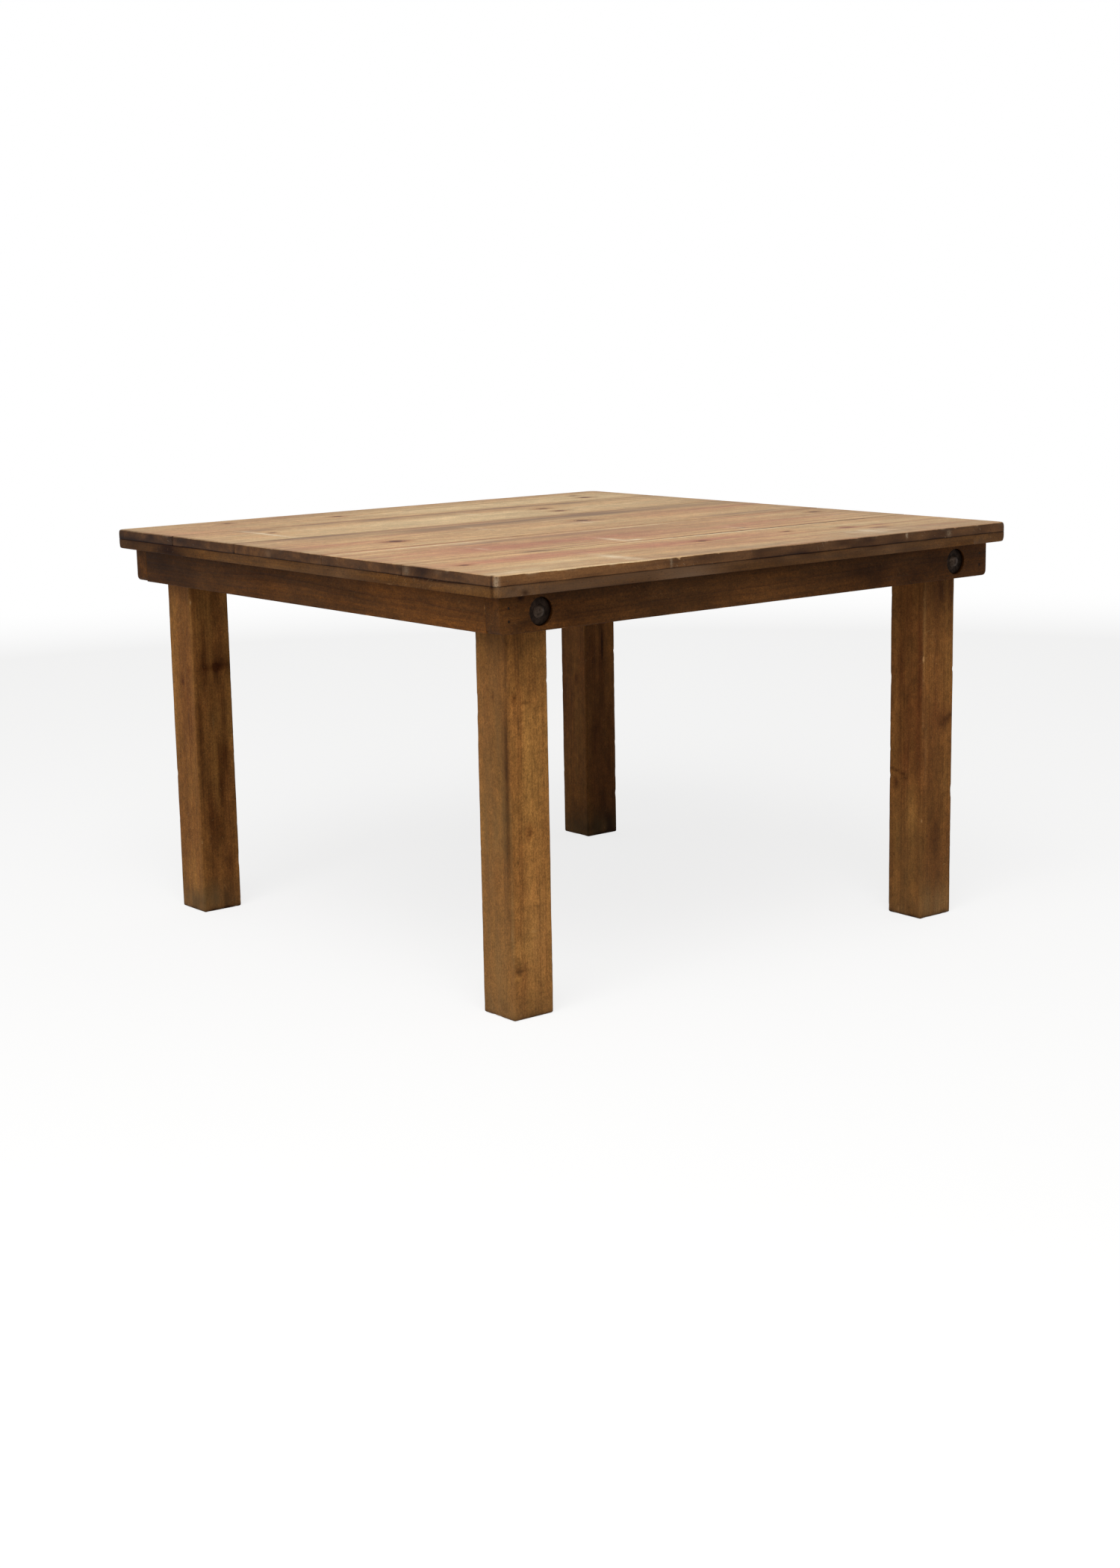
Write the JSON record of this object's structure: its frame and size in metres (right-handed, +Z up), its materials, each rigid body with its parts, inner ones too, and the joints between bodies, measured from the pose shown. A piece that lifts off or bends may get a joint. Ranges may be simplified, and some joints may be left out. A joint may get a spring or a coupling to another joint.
{
  "type": "square dining table with folding legs",
  "caption": "Square dining table of plain stained timber: a plank top on battens, aprons round it, and square post legs that each fold inwards on a single bolt.",
  "frame": {"origin": "on the floor under the middle of the top, at the level of the feet", "axes": "+Z up; X along the boards and the long aprons; Y along the leg bolts"},
  "size_m": [1.219, 1.219, 0.762],
  "materials": {
    "board_timber": "worn, lightly stained planks with knots and grey weathering",
    "edge_timber": "brown stain, worn pale on the edges",
    "apron_timber": "dark brown stain",
    "leg_timber": "warm brown stain, scuffed arrises",
    "dark_steel": "blackened steel, dull",
    "zinc_steel": "dull zinc plate"
  },
  "bodies": {
    "root": {"top_board_1": "board_timber", "top_board_2": "board_timber", "top_board_3": "board_timber", "top_board_4": "board_timber", "top_board_5": "board_timber", "end_batten_left": "edge_timber", "end_batten_right": "edge_timber", "side_strip_near": "edge_timber", "side_strip_far": "edge_timber", "cross_cleat": "edge_timber", "side_apron_near": "apron_timber", "side_apron_far": "apron_timber", "end_apron_left": "apron_timber", "end_apron_right": "apron_timber", "pivot_bolts": "dark_steel", "head_washers": "dark_steel", "pivot_washers": "zinc_steel", "nut_washers": "zinc_steel", "lock_nuts": "zinc_steel", "batten_screws": "zinc_steel", "strip_screws": "zinc_steel", "cleat_screws": "zinc_steel", "apron_screws": "zinc_steel", "corner_nails": "dark_steel"},
    "front_leg": {"leg_front": "leg_timber"},
    "left_leg": {"leg_left": "leg_timber"},
    "right_leg": {"leg_right": "leg_timber"},
    "back_leg": {"leg_back": "leg_timber"}
  },
  "joints": [
    {"name": "front_leg_fold", "type": "hinge", "parent": "root", "child": "front_leg", "pos_m": [-0.499, -0.5023, 0.694], "axis": [0, -1, 0], "range_deg": [0, 73]},
    {"name": "left_leg_fold", "type": "hinge", "parent": "root", "child": "left_leg", "pos_m": [-0.499, 0.5023, 0.694], "axis": [0, -1, 0], "range_deg": [0, 73]},
    {"name": "right_leg_fold", "type": "hinge", "parent": "root", "child": "right_leg", "pos_m": [0.499, -0.5023, 0.694], "axis": [0, 1, 0], "range_deg": [0, 90]},
    {"name": "back_leg_fold", "type": "hinge", "parent": "root", "child": "back_leg", "pos_m": [0.499, 0.5023, 0.694], "axis": [0, 1, 0], "range_deg": [0, 90]}
  ]
}
